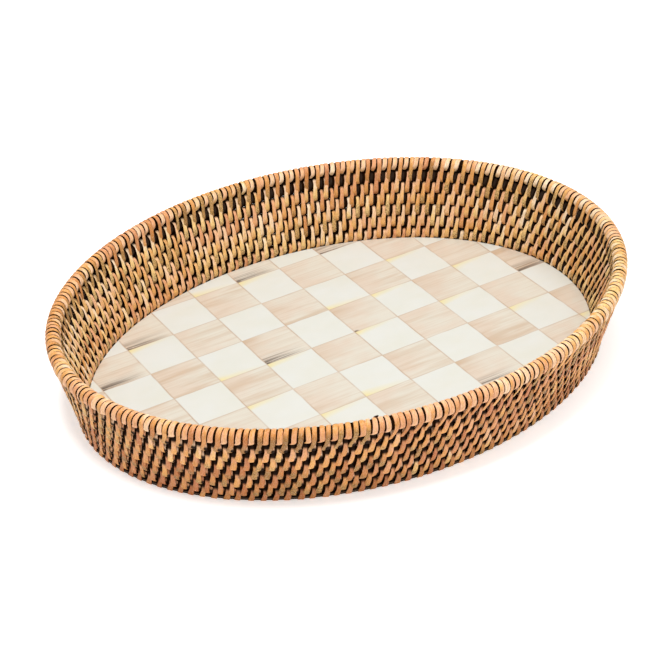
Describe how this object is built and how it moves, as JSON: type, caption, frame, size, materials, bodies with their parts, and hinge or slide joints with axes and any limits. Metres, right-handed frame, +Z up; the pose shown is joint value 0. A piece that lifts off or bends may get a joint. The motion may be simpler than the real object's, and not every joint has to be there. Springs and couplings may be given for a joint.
{
  "type": "serving tray",
  "caption": "oval coiled-rattan serving tray with a flared lashed wall, a thicker lashed rim and a flat two-tone checked panel as its floor",
  "frame": {"origin": "centre of the resting face, on the surface the tray stands on", "axes": "+X along the tray's length, +Y along its width, +Z up"},
  "size_m": [0.508, 0.408, 0.0776],
  "materials": {
    "board": "satin",
    "adhesive": "matte",
    "panel": "satin",
    "rattan_core": "matte",
    "rattan_peel": "satin"
  },
  "bodies": {
    "root": {"base_board": "board", "panel_adhesive": "adhesive", "check_panel": "panel", "wall_coil_1": "rattan_core", "wall_coil_2": "rattan_core", "wall_coil_3": "rattan_core", "wall_coil_4": "rattan_core", "wall_coil_5": "rattan_core", "wall_coil_6": "rattan_core", "rim_coil": "rattan_core", "board_binding": "rattan_peel", "wall_binding_2": "rattan_peel", "wall_binding_3": "rattan_peel", "wall_binding_4": "rattan_peel", "wall_binding_5": "rattan_peel", "wall_binding_6": "rattan_peel", "wall_wrap_1": "rattan_peel", "wall_wrap_2": "rattan_peel", "wall_wrap_3": "rattan_peel", "wall_wrap_4": "rattan_peel", "wall_wrap_5": "rattan_peel", "wall_wrap_6": "rattan_peel", "rim_binding": "rattan_peel", "rim_wrap": "rattan_peel", "strip_tail": "rattan_peel"}
  },
  "joints": []
}
